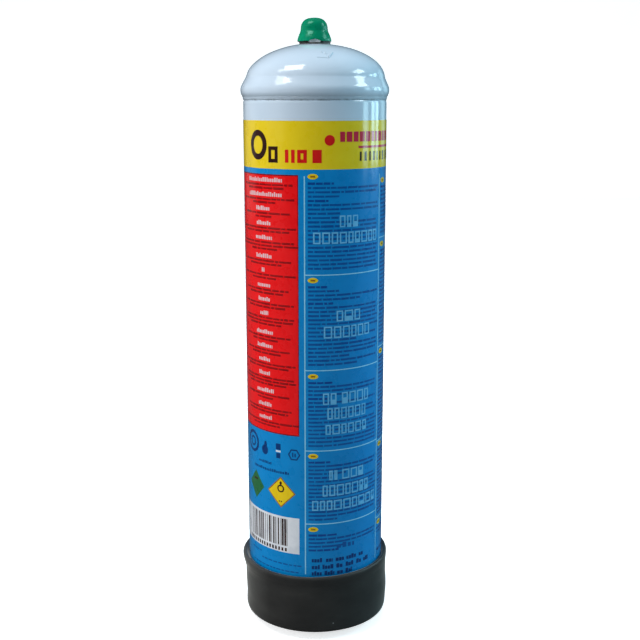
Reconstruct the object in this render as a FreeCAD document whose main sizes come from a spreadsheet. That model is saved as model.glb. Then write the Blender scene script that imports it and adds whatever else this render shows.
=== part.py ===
"""Disposable high-pressure gas cylinder with an M12 outlet valve, a push-on cap and a rubber base boot.

Millimetres, +Z up. The origin is the centre of the boot's flat underside, and the cylinder's axis is +Z.
Nearly every piece is turned, drawn or moulded round that axis, so most bodies are one revolved outline.
"""
import FreeCAD, Part
import os
import re

import Sketcher

Vector = FreeCAD.Vector

doc = FreeCAD.newDocument("gas_cylinder")
sheet = doc.addObject("Spreadsheet::Sheet", "Sizes")

# The driving dimensions. Every outline below is written in terms of these names.
DIMENSIONS = [
    # pressure vessel
    ("body_radius", 36.0, "outside radius of the drawn body"),
    ("wall", 2.2, "thickness of the drawn steel"),
    ("base_dish_floor", 2.7, "lowest point of the body's dished bottom"),
    ("dish_depth", 18.7, "depth of both dished ends, outside"),
    ("crown_base", 281.5, "height where the upper dish begins"),
    ("crown_radius", 35.6, "outside radius of the upper dish at its base"),
    ("joggle_inset", 0.9, "how far the body's top edge is necked in"),
    ("joggle_start", 271.6, "height where the necking starts"),
    ("joggle_rise", 1.8, "height of the necking slope"),
    ("body_top", 280.6, "top edge of the necked-in rim"),
    ("skirt_bottom", 274.6, "lower edge of the dome's skirt"),
    ("skirt_radius", 37.3, "outside radius of the skirt where it is widest"),
    ("skirt_mid", 277.8, "height where the skirt is widest"),
    ("skirt_tuck", 0.5, "how far the skirt's lower edge is drawn in"),
    ("waist_radius", 35.25, "outside radius of the waist above the skirt"),
    ("waist_height", 283.2, "height of that waist"),
    ("waist_flare", 0.6, "how far the skirt's top stands out beyond the waist"),
    ("weld_bottom", 272.6, "lower toe of the seam weld"),
    ("weld_inset", 0.22, "how far the weld's face lies inside the skirt's lower edge"),
    ("fit_gap", 0.03, "gap left between pieces that touch"),
    ("chamfer", 0.5, "chamfer on the turned pieces' larger edges"),
    ("edge_break", 0.3, "chamfer on the turned pieces' smaller edges"),
    # neck boss
    ("neck_radius", 7.9, "radius of the boss where it passes through the dome"),
    ("boss_top", 299.4, "top face of the boss"),
    ("boss_flange_radius", 12.0, "radius of the boss's flange under the dome"),
    ("boss_clearance", 0.08, "gap between the flange and the dome above it"),
    ("boss_flange_base", 293.6, "underside of the flange"),
    ("boss_barrel_radius", 8.6, "radius of the boss below its flange"),
    ("boss_bottom", 287.0, "lower end of the boss"),
    ("neck_weld_width", 2.0, "width of the weld round the boss's flange"),
    ("neck_weld_leg", 1.8, "height of that weld against the flange"),
    # valve body
    ("shank_radius", 5.5, "radius of the shank that screws into the boss"),
    ("valve_bottom", 281.0, "lower end of the valve body"),
    ("gasket_thick", 0.6, "thickness of the washer under the hexagon"),
    ("gasket_inset", 0.15, "how far the washer's edge lies inside the hexagon's corners"),
    ("hex_flats", 14.0, "width of the hexagon across its flats"),
    ("hex_corner_radius", 7.85, "radius to which the hexagon's corners are turned down"),
    ("hex_top", 302.4, "top of the hexagon"),
    ("outlet_radius", 5.94, "crest radius of the M12 x 1 outlet thread"),
    ("thread_pitch", 1.0, "pitch of the outlet thread"),
    ("thread_depth", 0.55, "depth of the outlet thread"),
    ("thread_crest", 0.25, "flat left on each crest of the outlet thread"),
    ("relief_radius", 5.2, "radius of the relief groove under the thread"),
    ("thread_start", 302.9, "lower end of the threaded wall"),
    ("thread_end", 307.9, "upper end of the threaded wall"),
    ("nose_radius", 4.95, "radius of the outlet's top face"),
    ("nose_top", 309.0, "top face of the outlet"),
    ("outlet_bore", 3.25, "radius of the outlet's upper bore"),
    ("outlet_bore_floor", 300.6, "floor of the upper bore"),
    ("seat_bore", 1.7, "radius of the passage between the two bores"),
    ("seat_height", 296.2, "height of the sealing edge"),
    ("seat_edge", 0.5, "height of the sealing edge below the bore's roof"),
    ("seat_edge_radius", 2.4, "outside radius of the sealing edge"),
    ("valve_bore", 4.0, "radius of the lower bore"),
    ("ring_groove_base", 306.2, "lower side of the outlet seal's groove"),
    ("ring_section", 0.75, "section radius of the outlet seal"),
    ("ring_squeeze", 0.5, "how far the seal stands out into the bore"),
    # pin and check valve
    ("pin_radius", 1.0, "radius of the valve pin"),
    ("pin_clearance", 0.05, "radial running clearance of the pin in its guide"),
    ("pin_top", 306.9, "top of the pin"),
    ("guide_top", 304.4, "top of the pin's guide"),
    ("guide_foot", 1.8, "height of the guide's cylindrical foot"),
    ("guide_shoulder", 2.4, "height where the guide's shoulder ends"),
    ("guide_wall", 0.9, "wall of the guide at its top, and width of its shoulder"),
    ("guide_slots", 3, "number of gas slots in the guide"),
    ("slot_depth", 1.1, "depth of each slot from the outlet's bore"),
    ("slot_width", 0.8, "width of each slot"),
    ("small_break", 0.15, "rounding on the pin and the seal"),
    ("seal_radius", 2.95, "radius of the rubber seal"),
    ("seal_thick", 1.4, "thickness of the rubber seal"),
    ("cup_radius", 3.6, "radius of the cup that carries the seal"),
    ("cup_bottom", 292.2, "underside of the cup's flange"),
    ("pin_socket", 1.0, "height of the pin's lower end above that underside"),
    ("spigot_radius", 1.7, "radius of the spring spigot under the cup"),
    ("spigot_length", 2.4, "length of that spigot"),
    ("spring_wire", 0.3, "radius of the spring's wire"),
    ("spring_radius", 2.5, "mean radius of the spring's coil"),
    ("spring_turns", 4.5, "number of turns in the spring"),
    ("retainer_top", 285.0, "top of the ring under the spring"),
    ("retainer_base", 283.2, "underside of that ring"),
    ("retainer_hole", 1.8, "radius of the ring's gas hole"),
    ("filter_base", 282.25, "underside of the inlet filter"),
    ("clip_thick", 0.5, "thickness of the clip"),
    ("clip_groove", 4.35, "radius of the clip's groove"),
    ("clip_inside", 3.35, "inside radius of the clip"),
    ("clip_angle", 300, "how far round the clip reaches, in degrees"),
    # cap
    ("cap_wall", 0.4, "thickness of the cap"),
    ("cap_top", 312.2, "top of the cap"),
    ("cap_crown_radius", 3.4, "outside radius of the cap's flattened crown"),
    ("cap_rim", 300.95, "lower edge of the cap"),
    ("cap_rim_radius", 8.75, "outside radius of the cap's flared rim"),
    ("cap_rim_round", 0.3, "rounding of that rim"),
    ("cap_waist_radius", 7.15, "outside radius where the flare begins"),
    ("cap_waist_height", 305.8, "height where the flare begins"),
    ("cap_shoulder_radius", 6.95, "outside radius of the cap under its dome"),
    ("cap_shoulder_height", 307.9, "height where the cap's dome begins"),
    ("cap_side_drop", 2.3, "depth below the top where the dome's side meets its corner"),
    ("cap_side_inset", 0.85, "how far that place lies inside the shoulder"),
    ("cap_crown_drop", 0.24, "depth of the crown's edge below the top"),
    ("notch_radius", 3.4, "radius of the thumb notch in the rim"),
    ("notch_drop", 2.2, "how far the notch's centre lies below the rim"),
    # boot and label
    ("boot_foot_radius", 37.9, "outside radius of the boot's foot"),
    ("boot_band_radius", 38.8, "outside radius of the boot's upper band"),
    ("boot_band_start", 20.5, "height where the upper band begins"),
    ("boot_step", 4.5, "height over which the foot widens to the band"),
    ("boot_taper", 0.2, "how much the foot widens below that step"),
    ("boot_lip_radius", 39.2, "outside radius of the boot's lip"),
    ("boot_top", 30.3, "top of the boot"),
    ("boot_mouth", 1.0, "how far the boot's mouth opens out at its top"),
    ("boot_mouth_depth", 2.0, "depth of that opening"),
    ("boot_lip_height", 2.6, "height of the lip"),
    ("boot_lip_slope", 0.8, "height of the slope under the lip"),
    ("boot_edge", 1.2, "rounding of the boot's edges"),
    ("label_thick", 0.1, "thickness of the printed film"),
    ("label_bottom", 29.2, "lower edge of the film"),
    ("label_top", 262.7, "upper edge of the film"),
]

for row, (alias, value, note) in enumerate(DIMENSIONS, start=1):
    sheet.set(f"A{row}", alias)
    sheet.set(f"B{row}", str(value))
    sheet.set(f"C{row}", note)
    sheet.setAlias(f"B{row}", alias)
doc.recompute()

DISH_ANGLES = [0, 25, 48, 70, 90]
NAMES = {alias for alias, value, note in DIMENSIONS}
ON_AXIS = "centred on the axis"
subparts = []


def bound(formula):
    """The formula with each size's name pointed at the sheet."""
    return re.sub(
        r"[a-z_]+", lambda word: f"Sizes.{word[0]}" if word[0] in NAMES else word[0], formula)


def value_of(formula):
    """The formula's present value in millimetres."""
    result = sheet.evalExpression(bound(formula))
    return float(getattr(result, "Value", result))


def new_body(label):
    body = doc.addObject("PartDesign::Body", label)
    body.Label = label
    subparts.append(body)
    return body


def origin_feature(body, role):
    return next(part for part in body.Origin.OriginFeatures if part.Role == role)


def new_sketch(body, name, role="XZ_Plane"):
    sketch = body.newObject("Sketcher::SketchObject", name)
    sketch.AttachmentSupport = (origin_feature(body, role), [""])
    sketch.MapMode = "FlatFace"
    doc.recompute()
    return sketch


def pin_point(sketch, geometry, end, formulas):
    """Drives one point of a sketch from the sheet, as distances from the sketch's origin."""
    axes = (("DistanceX", -2), ("DistanceY", -1))
    for (kind, zero_axis), formula in zip(axes, formulas):
        if formula == "0":
            sketch.addConstraint(Sketcher.Constraint("PointOnObject", geometry, end, zero_axis))
            continue
        number = sketch.addConstraint(
            Sketcher.Constraint(kind, -1, 1, geometry, end, value_of(formula)))
        sketch.setExpression(f"Constraints[{number}]", bound(formula))


def arc_middle(start, finish, via):
    """A point part-way along an arc: the point via, or worked out for an arc centred on the axis."""
    if via != ON_AXIS:
        return Vector(value_of(via[0]), value_of(via[1]), 0)
    centre_up = ((finish.x ** 2 + finish.y ** 2 - start.x ** 2 - start.y ** 2)
                 / (2 * (finish.y - start.y)))
    centre = Vector(0, centre_up, 0)
    radius = (start - centre).Length
    return centre + ((start + finish) / 2 - centre).normalize() * radius


def draw_outline(sketch, stations):
    """Draws a closed outline. A station is (across, up), or (across, up, via) when an arc leads from
    it to the next station, through the point via or, with ON_AXIS, centred on the sketch's upright
    axis. All numbers are formulas of the sheet's names."""
    points = [Vector(value_of(s[0]), value_of(s[1]), 0) for s in stations]
    ends = []
    for index, station in enumerate(stations):
        start, finish = points[index], points[(index + 1) % len(points)]
        if len(station) == 2:
            sketch.addGeometry(Part.LineSegment(start, finish), False)
            ends.append((1, 2))
            continue
        via = arc_middle(start, finish, station[2])
        sketch.addGeometry(Part.Arc(start, via, finish), False)
        clockwise = (via - start).cross(finish - via).z < 0
        ends.append((2, 1) if clockwise else (1, 2))
    for index, (first, last) in enumerate(ends):
        following = (index + 1) % len(ends)
        sketch.addConstraint(
            Sketcher.Constraint("Coincident", index, last, following, ends[following][0]))
        pin_point(sketch, index, first, stations[index][:2])
    for index, station in enumerate(stations):
        if len(station) == 3 and station[2] == ON_AXIS:
            sketch.addConstraint(Sketcher.Constraint("PointOnObject", index, 3, -2))
        elif len(station) == 3:
            marker = sketch.addGeometry(
                Part.Point(Vector(value_of(station[2][0]), value_of(station[2][1]), 0)), True)
            pin_point(sketch, marker, 1, station[2])
            sketch.addConstraint(Sketcher.Constraint("PointOnObject", marker, 1, index))


def revolve(body, name, stations, kind="PartDesign::Revolution"):
    """Turns a closed outline round the cylinder's axis, adding to the body or, as a groove, cutting it."""
    sketch = new_sketch(body, f"{name}_outline")
    draw_outline(sketch, stations)
    doc.recompute()
    before = body.Shape.Volume if body.Tip else 0.0
    feature = body.newObject(kind, name)
    feature.Profile = sketch
    feature.ReferenceAxis = (sketch, ["V_Axis"])
    feature.Angle = 360
    sketch.Visibility = False
    doc.recompute()
    if kind == "PartDesign::Groove" and body.Shape.Volume >= before:
        raise RuntimeError(f"{body.Label}: {name} cut nothing")
    return feature


def dish_point(radius, depth, base, angle, sign="+"):
    """A point on an elliptical dish, at an angle from the axis."""
    across = f"( {radius} ) * sin( {angle} deg )"
    return across, f"( {base} ) {sign} ( {depth} ) * cos( {angle} deg )"


def dish_arcs(radius, depth, base, angles, sign="+"):
    """Stations along an elliptical dish, each joined to the next by an arc through the middle."""
    stations = []
    for angle, after in zip(angles, angles[1:]):
        here = dish_point(radius, depth, base, angle, sign)
        middle = dish_point(radius, depth, base, (angle + after) / 2, sign)
        stations.append((*here, middle))
    return stations


def dome_inside(radius):
    """Height of the dome's inner surface at a radius."""
    return (f"( crown_base + ( dish_depth - wall ) *"
            f" sqrt( 1 - ( ( {radius} ) / ( crown_radius - wall ) ) ^ 2 ) )")


def lower_shell():
    """Deep-drawn body: dished bottom, straight wall and a rim necked in to enter the dome."""
    body = new_body("lower_shell")
    outside_base = "base_dish_floor + dish_depth"
    inside = "body_radius - wall"
    outer = dish_arcs("body_radius", "dish_depth", outside_base, DISH_ANGLES, "-")
    inner = dish_arcs(inside, "dish_depth - wall", outside_base, DISH_ANGLES[::-1], "-")
    revolve(body, "drawn_shell", [
        ("0", "base_dish_floor", ON_AXIS),
        *outer[1:],
        ("body_radius", outside_base),
        ("body_radius", "joggle_start"),
        ("body_radius - joggle_inset", "joggle_start + joggle_rise"),
        ("body_radius - joggle_inset", "body_top"),
        (f"{inside} - joggle_inset", "body_top"),
        (f"{inside} - joggle_inset", "joggle_start + joggle_rise"),
        (inside, "joggle_start"),
        *inner[:-1],
        (*inner[-1][:2], ON_AXIS),
        ("0", "base_dish_floor + wall"),
    ])


def upper_dome():
    """Dished top. Its skirt is belled out over the body's necked rim, and the boss fills its hole."""
    body = new_body("upper_dome")
    bore = "neck_radius + fit_gap"
    inside = "body_radius - joggle_inset + fit_gap"
    outer_dish = dish_arcs("crown_radius", "dish_depth", "crown_base", [84, 64, 44, 28, 12.88])
    inner_dish = dish_arcs("crown_radius - wall", "dish_depth - wall", "crown_base", [14, 35, 60, 84])
    neck_up = f"crown_base + dish_depth * sqrt( 1 - ( ( {bore} ) / crown_radius ) ^ 2 )"
    neck_down = dome_inside(bore)
    inner_end = dish_point("crown_radius - wall", "dish_depth - wall", "crown_base", 84)
    outer_dish[-1] = (*outer_dish[-1][:2],
                      dish_point("crown_radius", "dish_depth", "crown_base", 20))
    revolve(body, "belled_dome", [
        (inside, "skirt_bottom"),
        ("skirt_radius - skirt_tuck", "skirt_bottom", ("skirt_radius", "skirt_mid - 0.8")),
        ("skirt_radius", "skirt_mid", ("skirt_radius - 0.45", "crown_base - 0.9")),
        ("waist_radius + waist_flare", "crown_base + 0.5",
         ("waist_radius + waist_flare / 3", "crown_base + 1")),
        ("waist_radius", "waist_height"),
        *outer_dish,
        (bore, neck_up),
        (bore, neck_down),
        *inner_dish,
        inner_end,
        ("crown_radius - wall - 0.3", "waist_height"),
        (inside, "body_top + 0.4"),
    ])


def seam_weld():
    """Ring of weld metal in the notch between the skirt's edge and the body."""
    body = new_body("seam_weld")
    root = "body_radius - joggle_inset + fit_gap"
    edge = "skirt_radius - skirt_tuck"
    revolve(body, "weld_ring", [
        ("body_radius + fit_gap", "weld_bottom", (f"{edge} - weld_inset", "weld_bottom + 0.75")),
        (edge, "skirt_bottom - fit_gap"),
        (root, "skirt_bottom - fit_gap"),
        (root, "joggle_start + joggle_rise + fit_gap"),
        ("body_radius + fit_gap", "joggle_start + fit_gap"),
    ])


def neck_boss():
    """Turned steel boss: a register through the dome's hole, a flange welded inside, a tapped barrel."""
    body = new_body("neck_boss")
    bore = "shank_radius + fit_gap"
    flange_rise = f"{dome_inside('boss_flange_radius')} - boss_clearance"
    register = f"{dome_inside('neck_radius')} - boss_clearance"
    revolve(body, "turned_boss", [
        (bore, "boss_bottom"),
        ("boss_barrel_radius - chamfer", "boss_bottom"),
        ("boss_barrel_radius", "boss_bottom + chamfer"),
        ("boss_barrel_radius", "boss_flange_base"),
        ("boss_flange_radius", "boss_flange_base"),
        ("boss_flange_radius", flange_rise),
        ("neck_radius", register),
        ("neck_radius", "boss_top"),
        (bore, "boss_top"),
    ])


def neck_weld():
    """Ring of weld metal under the dome, round the boss's flange."""
    body = new_body("neck_weld")
    edge = "boss_flange_radius + fit_gap"
    toe = "boss_flange_radius + neck_weld_width"
    top = f"{dome_inside(edge)} - boss_clearance"
    revolve(body, "weld_ring", [
        (edge, f"{top} - neck_weld_leg",
         ("boss_flange_radius + 0.6 * neck_weld_width", f"{top} - 0.75 * neck_weld_leg")),
        (toe, f"{dome_inside(toe)} - boss_clearance"),
        (edge, top),
    ])


def base_boot():
    """Rubber foot: a cup that follows the dished bottom inside and is flat underneath."""
    body = new_body("base_boot")
    dish_base = "base_dish_floor + dish_depth"
    grip = "body_radius + fit_gap"
    angles = DISH_ANGLES[:0:-1]
    hollow = dish_arcs(grip, "dish_depth + fit_gap", dish_base, angles, "-")
    floor_ring = dish_point(grip, "dish_depth + fit_gap", dish_base, angles[-1], "-")
    lip_low = "boot_top - boot_lip_height"
    bulge = "boot_edge * ( 1 - cos( 45 deg ) )"
    revolve(body, "moulded_cup", [
        ("0", "0"),
        ("boot_foot_radius - boot_edge", "0",
         (f"boot_foot_radius - {bulge}", bulge)),
        ("boot_foot_radius", "boot_edge"),
        ("boot_foot_radius + boot_taper", "boot_band_start - boot_step"),
        ("boot_band_radius", "boot_band_start"),
        ("boot_band_radius", f"{lip_low} - boot_lip_slope"),
        ("boot_lip_radius", lip_low),
        ("boot_lip_radius", "boot_top - boot_edge",
         (f"boot_lip_radius - {bulge}", f"boot_top - {bulge}")),
        ("boot_lip_radius - boot_edge", "boot_top"),
        (f"{grip} + boot_mouth", "boot_top"),
        (grip, "boot_top - boot_mouth_depth"),
        *hollow,
        (*floor_ring, ON_AXIS),
        ("0", "base_dish_floor - fit_gap"),
    ])


def label_wrap():
    """Printed film round the body, as a closed sleeve."""
    body = new_body("label_wrap")
    inside = "body_radius + fit_gap"
    revolve(body, "wrapped_film", [
        (inside, "label_bottom"),
        (f"{inside} + label_thick", "label_bottom"),
        (f"{inside} + label_thick", "label_top"),
        (inside, "label_top"),
    ])


def boss_gasket():
    body = new_body("boss_gasket")
    inside, outside = "shank_radius + 0.1", "hex_corner_radius - gasket_inset"
    revolve(body, "flat_washer", [
        (inside, "boss_top"),
        (outside, "boss_top"),
        (outside, "boss_top + gasket_thick"),
        (inside, "boss_top + gasket_thick"),
    ])


def valve_body():
    """Brass valve body: shank, hexagon with turned corners and threaded outlet, bored right through."""
    body = new_body("valve_body")
    hex_base = "boss_top + gasket_thick"
    groove_top = "ring_groove_base + 2 * ring_section"
    seat_roof = "seat_height + seat_edge"
    core = "hex_flats / 2 - 0.2"
    groove_radius = "outlet_bore + 2 * ring_section - ring_squeeze"
    revolve(body, "turned_body", [
        ("valve_bore", "valve_bottom"),
        ("shank_radius - chamfer", "valve_bottom"),
        ("shank_radius", "valve_bottom + chamfer"),
        ("shank_radius", hex_base),
        (core, hex_base),
        (core, "hex_top"),
        ("relief_radius", "hex_top"),
        ("relief_radius", "thread_start - edge_break"),
        ("outlet_radius", "thread_start"),
        ("outlet_radius", "thread_end"),
        ("nose_radius", "nose_top"),
        ("outlet_bore + edge_break", "nose_top"),
        ("outlet_bore", "nose_top - edge_break"),
        ("outlet_bore", groove_top),
        (groove_radius, groove_top),
        (groove_radius, "ring_groove_base"),
        ("outlet_bore", "ring_groove_base"),
        ("outlet_bore", "outlet_bore_floor"),
        ("seat_bore", "outlet_bore_floor"),
        ("seat_bore", "seat_height"),
        ("seat_edge_radius - edge_break", "seat_height"),
        ("seat_edge_radius", seat_roof),
        ("valve_bore", seat_roof),
        ("valve_bore", "filter_base"),
        ("clip_groove", "filter_base"),
        ("clip_groove", "filter_base - clip_thick - 2 * fit_gap"),
        ("valve_bore", "filter_base - clip_thick - 2 * fit_gap"),
    ])
    hexagon = body.newObject("PartDesign::AdditivePrism", "hexagon")
    hexagon.Polygon = 6
    hexagon.setExpression("Circumradius", bound("hex_flats / 2 / cos( 30 deg )"))
    hexagon.setExpression("Height", bound("hex_top - boss_top - gasket_thick"))
    hexagon.AttachmentSupport = (origin_feature(body, "XY_Plane"), [""])
    hexagon.MapMode = "FlatFace"
    hexagon.setExpression("AttachmentOffset.Base.z", bound(hex_base))
    doc.recompute()
    bore_again = [
        ("0", "boss_top"), ("seat_bore", "boss_top"),
        ("seat_bore", "outlet_bore_floor"), ("outlet_bore", "outlet_bore_floor"),
        ("outlet_bore", "hex_top + chamfer"), ("0", "hex_top + chamfer"),
    ]
    revolve(body, "bore_through_hexagon", bore_again, "PartDesign::Groove")
    revolve(body, "turned_corners", [
        ("hex_corner_radius", f"{hex_base} - chamfer"),
        ("hex_flats", f"{hex_base} - chamfer"),
        ("hex_flats", "hex_top + chamfer"),
        (core, "hex_top + chamfer"),
        (core, "hex_top"),
        ("hex_corner_radius", "hex_top - chamfer"),
    ], "PartDesign::Groove")
    cut_outlet_thread(body)


def cut_outlet_thread(body):
    """Cuts the outlet's thread as evenly spaced V grooves, one for each turn."""
    floor = "outlet_radius - thread_depth"
    half_floor, half_mouth = "thread_crest / 4", "( thread_pitch - thread_crest ) / 2"
    middle = "thread_start + thread_pitch / 2"
    groove = revolve(body, "thread_groove", [
        (floor, f"{middle} - {half_floor}"),
        ("outlet_radius", f"{middle} - {half_mouth}"),
        ("outlet_radius + 0.1", f"{middle} - {half_mouth}"),
        ("outlet_radius + 0.1", f"{middle} + {half_mouth}"),
        ("outlet_radius", f"{middle} + {half_mouth}"),
        (floor, f"{middle} + {half_floor}"),
    ], "PartDesign::Groove")
    turns = body.newObject("PartDesign::LinearPattern", "thread_turns")
    turns.Originals = [groove]
    turns.Direction = (origin_feature(body, "Z_Axis"), [""])
    turns.setExpression("Length", bound("thread_end - thread_start - thread_pitch"))
    turns.setExpression(
        "Occurrences", bound("round( ( thread_end - thread_start ) / thread_pitch )"))
    body.Tip = turns


def outlet_seal():
    """Rubber ring in the outlet's bore, which seals on the torch valve's probe."""
    body = new_body("outlet_oring")
    centre_up = "ring_groove_base + ring_section"
    middle = "outlet_bore - ring_squeeze + ring_section"
    half = "( ring_section - fit_gap * 2 )"
    inner, outer = f"{middle} - {half}", f"{middle} + {half}"
    slant = f"{half} * cos( 45 deg )"
    revolve(body, "moulded_ring", [
        (inner, centre_up, (f"{middle} - {slant}", f"{centre_up} - {slant}")),
        (middle, f"{centre_up} - {half}", (f"{middle} + {slant}", f"{centre_up} - {slant}")),
        (outer, centre_up, (f"{middle} + {slant}", f"{centre_up} + {slant}")),
        (middle, f"{centre_up} + {half}", (f"{middle} - {slant}", f"{centre_up} + {slant}")),
    ])


def stem_guide():
    """Bush that guides the pin, with gas slots round its edge."""
    body = new_body("stem_guide")
    revolve(body, "turned_bush", [
        ("pin_radius + pin_clearance", "outlet_bore_floor + fit_gap"),
        ("outlet_bore - fit_gap", "outlet_bore_floor + fit_gap"),
        ("outlet_bore - fit_gap", "outlet_bore_floor + guide_foot"),
        ("outlet_bore - guide_wall", "outlet_bore_floor + guide_shoulder"),
        ("pin_radius + guide_wall", "guide_top"),
        ("pin_radius + pin_clearance", "guide_top"),
    ])
    slot = new_sketch(body, "slot_outline", "XY_Plane")
    draw_outline(slot, [
        ("outlet_bore - slot_depth", "0.001"),
        ("outlet_bore + 0.5", "0.001"),
        ("outlet_bore + 0.5", "slot_width"),
        ("outlet_bore - slot_depth", "slot_width"),
    ])
    doc.recompute()
    before = body.Shape.Volume
    pocket = body.newObject("PartDesign::Pocket", "gas_slot")
    pocket.Profile = slot
    pocket.Type = 0
    pocket.Reversed = True
    pocket.setExpression("Length", bound("guide_top"))
    slot.Visibility = False
    doc.recompute()
    if body.Shape.Volume >= before:
        raise RuntimeError("the guide's gas slot cut nothing")
    ring = body.newObject("PartDesign::PolarPattern", "gas_slots")
    ring.Originals = [pocket]
    ring.Axis = (slot, ["N_Axis"])
    ring.Angle = 360
    ring.setExpression("Occurrences", bound("guide_slots"))
    body.Tip = ring


def valve_pin():
    """Steel pin that a torch's probe pushes down. Its lower end is pressed into the seal's cup."""
    body = new_body("valve_pin")
    revolve(body, "turned_pin", [
        ("0", "cup_bottom + pin_socket"),
        ("pin_radius", "cup_bottom + pin_socket"),
        ("pin_radius", "pin_top - chamfer", ("pin_radius - small_break", "pin_top - small_break")),
        ("pin_radius - chamfer", "pin_top"),
        ("0", "pin_top"),
    ])


def poppet_cup():
    """Cup that holds the seal against the sealing edge, with a spigot for the spring."""
    body = new_body("poppet_cup")
    seal_base = "seat_height - seal_thick"
    revolve(body, "turned_cup", [
        ("0", "cup_bottom - spigot_length"),
        ("spigot_radius - edge_break", "cup_bottom - spigot_length"),
        ("spigot_radius", "cup_bottom - spigot_length + edge_break"),
        ("spigot_radius", "cup_bottom"),
        ("cup_radius", "cup_bottom"),
        ("cup_radius", "seat_height - seat_edge"),
        ("seal_radius + fit_gap", "seat_height - seat_edge"),
        ("seal_radius + fit_gap", f"{seal_base} - fit_gap"),
        ("pin_radius + fit_gap", f"{seal_base} - fit_gap"),
        ("pin_radius + fit_gap", "cup_bottom + pin_socket - fit_gap"),
        ("0", "cup_bottom + pin_socket - fit_gap"),
    ])


def poppet_seal():
    body = new_body("poppet_seal")
    revolve(body, "rubber_disc", [
        ("pin_radius + fit_gap", "seat_height - seal_thick"),
        ("seal_radius", "seat_height - seal_thick"),
        ("seal_radius", "seat_height - small_break - fit_gap"),
        ("seal_radius - small_break", "seat_height - fit_gap"),
        ("pin_radius + fit_gap", "seat_height - fit_gap"),
    ])


def poppet_spring():
    """Compression spring between the cup and the retaining ring."""
    body = new_body("poppet_spring")
    wire = new_sketch(body, "wire_section")
    wire.addGeometry(Part.Circle(
        Vector(value_of("spring_radius"), value_of("retainer_top + spring_wire + fit_gap"), 0),
        Vector(0, 0, 1), value_of("spring_wire")), False)
    pin_point(wire, 0, 3, ("spring_radius", "retainer_top + spring_wire + fit_gap"))
    radius = wire.addConstraint(Sketcher.Constraint("Radius", 0, value_of("spring_wire")))
    wire.setExpression(f"Constraints[{radius}]", bound("spring_wire"))
    doc.recompute()
    coil = body.newObject("PartDesign::AdditiveHelix", "coil")
    coil.Profile = wire
    coil.ReferenceAxis = (wire, ["V_Axis"])
    coil.Mode = 1
    free_height = "cup_bottom - retainer_top - 2 * spring_wire - 2 * fit_gap"
    coil.setExpression("Height", bound(free_height))
    coil.setExpression("Turns", bound("spring_turns"))
    coil.setExpression("Pitch", bound(f"( {free_height} ) / spring_turns"))
    wire.Visibility = False


def spring_retainer():
    body = new_body("spring_retainer")
    revolve(body, "turned_ring", [
        ("retainer_hole", "retainer_base + fit_gap"),
        ("valve_bore - fit_gap", "retainer_base + fit_gap"),
        ("valve_bore - fit_gap", "retainer_top"),
        ("retainer_hole + edge_break", "retainer_top"),
        ("retainer_hole", "retainer_top - edge_break"),
    ])


def inlet_filter():
    """Sintered disc that keeps scale out of the valve."""
    body = new_body("inlet_filter")
    revolve(body, "sintered_disc", [
        ("0", "filter_base + fit_gap"),
        ("valve_bore - fit_gap", "filter_base + fit_gap"),
        ("valve_bore - fit_gap", "retainer_base"),
        ("0", "retainer_base"),
    ])


def filter_clip():
    """Open spring clip in the groove under the filter."""
    body = new_body("filter_clip")
    clip = revolve(body, "bent_clip", [
        ("clip_inside", "filter_base - clip_thick"),
        ("clip_groove - fit_gap", "filter_base - clip_thick"),
        ("clip_groove - fit_gap", "filter_base - fit_gap"),
        ("clip_inside", "filter_base - fit_gap"),
    ])
    clip.setExpression("Angle", bound("clip_angle"))


def outlet_cap():
    """Soft push-on cap: domed top, short neck, flared skirt and a thumb notch in the rim."""
    body = new_body("outlet_cap")
    revolve(body, "moulded_bell", [
        ("0", "cap_top", ON_AXIS),
        ("cap_crown_radius", "cap_top - cap_crown_drop",
         ("cap_crown_radius + 1.65", "cap_top - 1.05")),
        ("cap_shoulder_radius - cap_side_inset", "cap_top - cap_side_drop",
         ("cap_shoulder_radius - 0.33", "cap_shoulder_height + 1")),
        ("cap_shoulder_radius", "cap_shoulder_height"),
        ("cap_waist_radius", "cap_waist_height"),
        ("cap_rim_radius", "cap_rim + cap_rim_round", ("cap_rim_radius - 0.06", "cap_rim + 0.09")),
        ("cap_rim_radius - 0.2", "cap_rim"),
        ("cap_rim_radius - cap_wall", "cap_rim"),
        ("cap_waist_radius - cap_wall", "cap_waist_height - cap_rim_round"),
        ("cap_shoulder_radius - cap_wall", "cap_shoulder_height + 0.05",
         ("cap_shoulder_radius - cap_wall - 0.4", "cap_shoulder_height + 1.15")),
        ("cap_shoulder_radius - cap_wall - 1", "cap_top - 2.5",
         ("cap_crown_radius + 1.1", "cap_top - 1.5")),
        ("cap_crown_radius - cap_wall / 2", "cap_top - cap_wall - cap_crown_drop"),
        ("0", "cap_top - cap_wall"),
    ])
    arch = new_sketch(body, "notch_outline")
    arch.addGeometry(Part.Circle(
        Vector(0, value_of("cap_rim - notch_drop"), 0), Vector(0, 0, 1), value_of("notch_radius")), False)
    pin_point(arch, 0, 3, ("0", "cap_rim - notch_drop"))
    radius = arch.addConstraint(Sketcher.Constraint("Radius", 0, value_of("notch_radius")))
    arch.setExpression(f"Constraints[{radius}]", bound("notch_radius"))
    doc.recompute()
    before = body.Shape.Volume
    notch = body.newObject("PartDesign::Pocket", "thumb_notch")
    notch.Profile = arch
    notch.Type = 0
    notch.Reversed = True
    notch.setExpression("Length", bound("cap_rim_radius + 1"))
    arch.Visibility = False
    doc.recompute()
    if body.Shape.Volume >= before:
        raise RuntimeError("the cap's notch cut nothing")


BUILDERS = [
    lower_shell, upper_dome, seam_weld, neck_boss, neck_weld, base_boot, label_wrap, boss_gasket,
    valve_body, outlet_seal, stem_guide, valve_pin, poppet_cup, poppet_seal, poppet_spring,
    spring_retainer, inlet_filter, filter_clip, outlet_cap,
]
for build in BUILDERS:
    build()
doc.recompute()

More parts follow.
